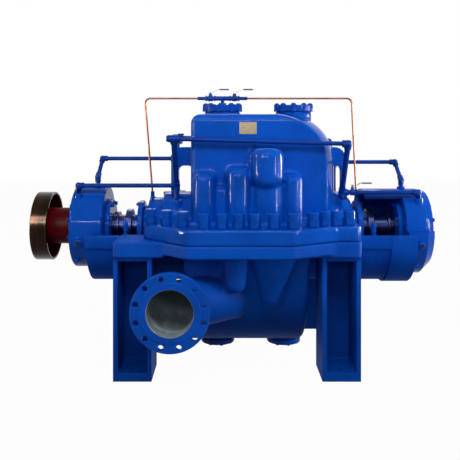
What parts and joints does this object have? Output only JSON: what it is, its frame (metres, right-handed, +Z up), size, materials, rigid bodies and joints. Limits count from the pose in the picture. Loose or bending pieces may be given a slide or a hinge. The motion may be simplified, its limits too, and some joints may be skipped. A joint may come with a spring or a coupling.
{
  "type": "split case pump",
  "caption": "Axially split pump casing with a tall crown and bulging passages, bearing brackets and housings at both ends, a drive coupling, cooling pipework, and pedestals bolted to the floor.",
  "frame": {"origin": "on the floor, at the centre of the foundation bolts of the four pedestals, under the shaft", "axes": "+X along the shaft away from the drive coupling, -Y towards the suction nozzle's face, +Z up"},
  "size_m": [2.512, 1.664, 1.665],
  "materials": {
    "blue_enamel": "glossy cobalt blue enamel over castings and plate",
    "pipe_enamel": "glossy cobalt blue enamel over steel pipe",
    "bare_shaft_steel": "turned steel with an oil film",
    "rim_steel": "dark machined steel with a brown rust-proof film",
    "red_primer": "dark red primer",
    "copper_tube": "bare copper tube, dulled",
    "plate_brass": "bare etched plate, brushed",
    "lever_steel": "zinc-plated steel"
  },
  "bodies": {
    "casing": {"lower_casing": "blue_enamel", "upper_casing": "blue_enamel", "suction_nozzle": "blue_enamel", "discharge_nozzle": "blue_enamel", "left_top_cover": "blue_enamel", "right_top_cover": "blue_enamel", "left_bottom_cover": "blue_enamel", "right_bottom_cover": "blue_enamel", "left_lifting_lug": "blue_enamel", "right_lifting_lug": "blue_enamel", "rating_plate": "plate_brass", "front_left_pedestal": "blue_enamel", "front_right_pedestal": "blue_enamel", "rear_left_pedestal": "blue_enamel", "rear_right_pedestal": "blue_enamel", "left_bearing_bracket": "blue_enamel", "right_bearing_bracket": "blue_enamel", "left_bearing_housing": "blue_enamel", "left_bearing_cap": "blue_enamel", "right_bearing_housing": "blue_enamel", "right_bearing_cap": "blue_enamel", "left_inner_cover": "blue_enamel", "right_inner_cover": "blue_enamel", "left_end_cover": "blue_enamel", "right_end_cover": "blue_enamel", "left_seal_gland": "blue_enamel", "right_seal_gland": "blue_enamel", "front_manifold": "pipe_enamel", "rear_manifold": "pipe_enamel", "left_supply_pipe": "pipe_enamel", "right_supply_pipe": "pipe_enamel", "left_return_pipe": "pipe_enamel", "right_return_pipe": "pipe_enamel", "flush_tee": "pipe_enamel", "left_flush_valve": "pipe_enamel", "right_flush_valve": "pipe_enamel", "cooling_valve": "pipe_enamel", "left_flush_tube": "copper_tube", "right_flush_tube": "copper_tube"},
    "rotor": {"shaft": "bare_shaft_steel", "coupling_hub": "red_primer", "coupling_rim": "rim_steel"},
    "left_flush_handle": {"left_flush_lever": "lever_steel"},
    "right_flush_handle": {"right_flush_lever": "lever_steel"},
    "cooling_handle": {"cooling_lever": "lever_steel"}
  },
  "joints": [
    {"name": "rotor_spin", "type": "hinge", "parent": "casing", "child": "rotor", "pos_m": [0, 0, 0.78], "axis": [1, 0, 0], "continuous": true},
    {"name": "left_flush_turn", "type": "hinge", "parent": "casing", "child": "left_flush_handle", "pos_m": [-0.164, 0, 1.605], "axis": [0, 0, -1], "range_deg": [0, 90]},
    {"name": "right_flush_turn", "type": "hinge", "parent": "casing", "child": "right_flush_handle", "pos_m": [-0.008, 0, 1.605], "axis": [0, 0, -1], "range_deg": [0, 90]},
    {"name": "cooling_turn", "type": "hinge", "parent": "casing", "child": "cooling_handle", "pos_m": [0.729, -0.16, 1.01], "axis": [0, 0, -1], "range_deg": [0, 90]}
  ]
}
